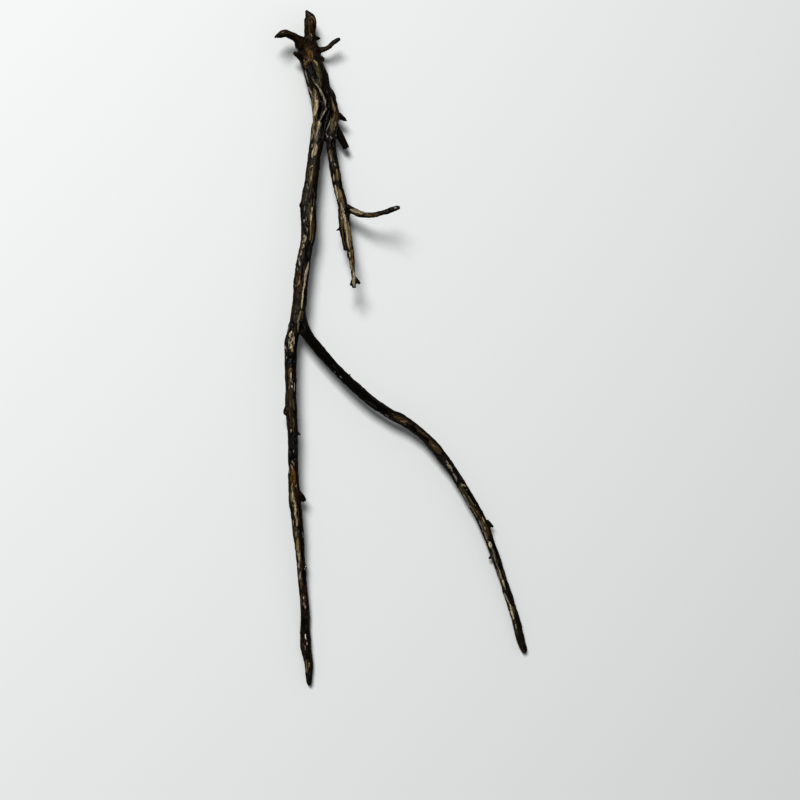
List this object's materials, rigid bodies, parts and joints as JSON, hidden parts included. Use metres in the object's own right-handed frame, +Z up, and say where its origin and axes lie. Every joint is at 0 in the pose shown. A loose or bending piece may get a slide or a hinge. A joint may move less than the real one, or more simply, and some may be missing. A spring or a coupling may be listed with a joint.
{
  "type": "spiderwood root",
  "caption": "Long forked root of dark twisted wood with a knobbly crown, short dead twigs and slender legs, lying on three low points.",
  "frame": {"origin": "middle of the root's bounding box, on the surface that it lies on", "axes": "+Y along the root from its feet to its crown, +X from the straight leg towards the bowed leg, +Z up from the surface"},
  "size_m": [0.233, 0.5295, 0.0428],
  "materials": {
    "root_wood": "satin"
  },
  "bodies": {
    "root": {"spiderwood_root": "root_wood"}
  },
  "joints": []
}
